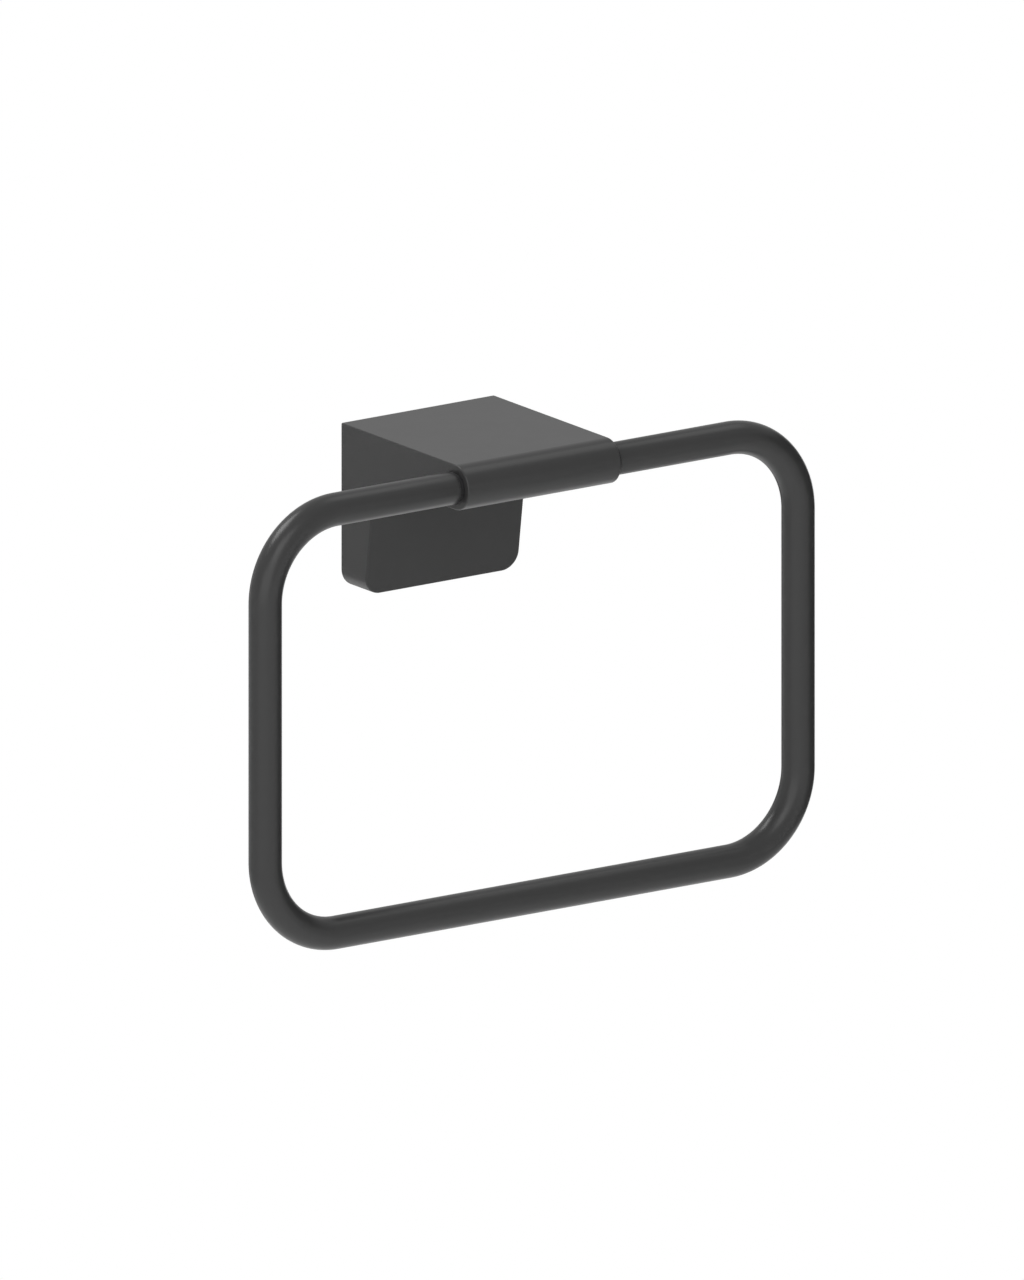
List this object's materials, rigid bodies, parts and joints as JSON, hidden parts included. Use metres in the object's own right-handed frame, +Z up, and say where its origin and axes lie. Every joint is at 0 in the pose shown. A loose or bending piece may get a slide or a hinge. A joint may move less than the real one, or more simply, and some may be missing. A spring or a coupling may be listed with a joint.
{
  "type": "towel ring",
  "caption": "Wall-mounted towel ring: a cast bracket with a flat arm and a barrel, and a rectangular ring of bent tube that swings on a spindle in the barrel.",
  "frame": {"origin": "middle of the wall plate's back face, on the wall plane", "axes": "+Z up, +X to the right seen from the room, +Y into the wall; the object stands out along -Y"},
  "size_m": [0.2444, 0.0791, 0.1709],
  "materials": {
    "black_coat": "satin black coat",
    "plate_zinc": "plain zinc, dull",
    "screw_steel": "blackened steel",
    "spigot_steel": "blackened drawn steel",
    "bush_plastic": "matte black nylon"
  },
  "bodies": {
    "bracket": {"bracket": "black_coat", "wall_plate": "plate_zinc", "plate_grub_screw": "screw_steel", "ring_grub_screw": "screw_steel", "bush_left": "bush_plastic", "bush_right": "bush_plastic"},
    "ring": {"ring": "black_coat", "ring_spigot": "spigot_steel"}
  },
  "joints": [
    {"name": "ring_swing", "type": "hinge", "parent": "bracket", "child": "ring", "pos_m": [0, -0.0708, 0.02207], "axis": [-1, 0, 0], "range_deg": [-24, 204]}
  ]
}
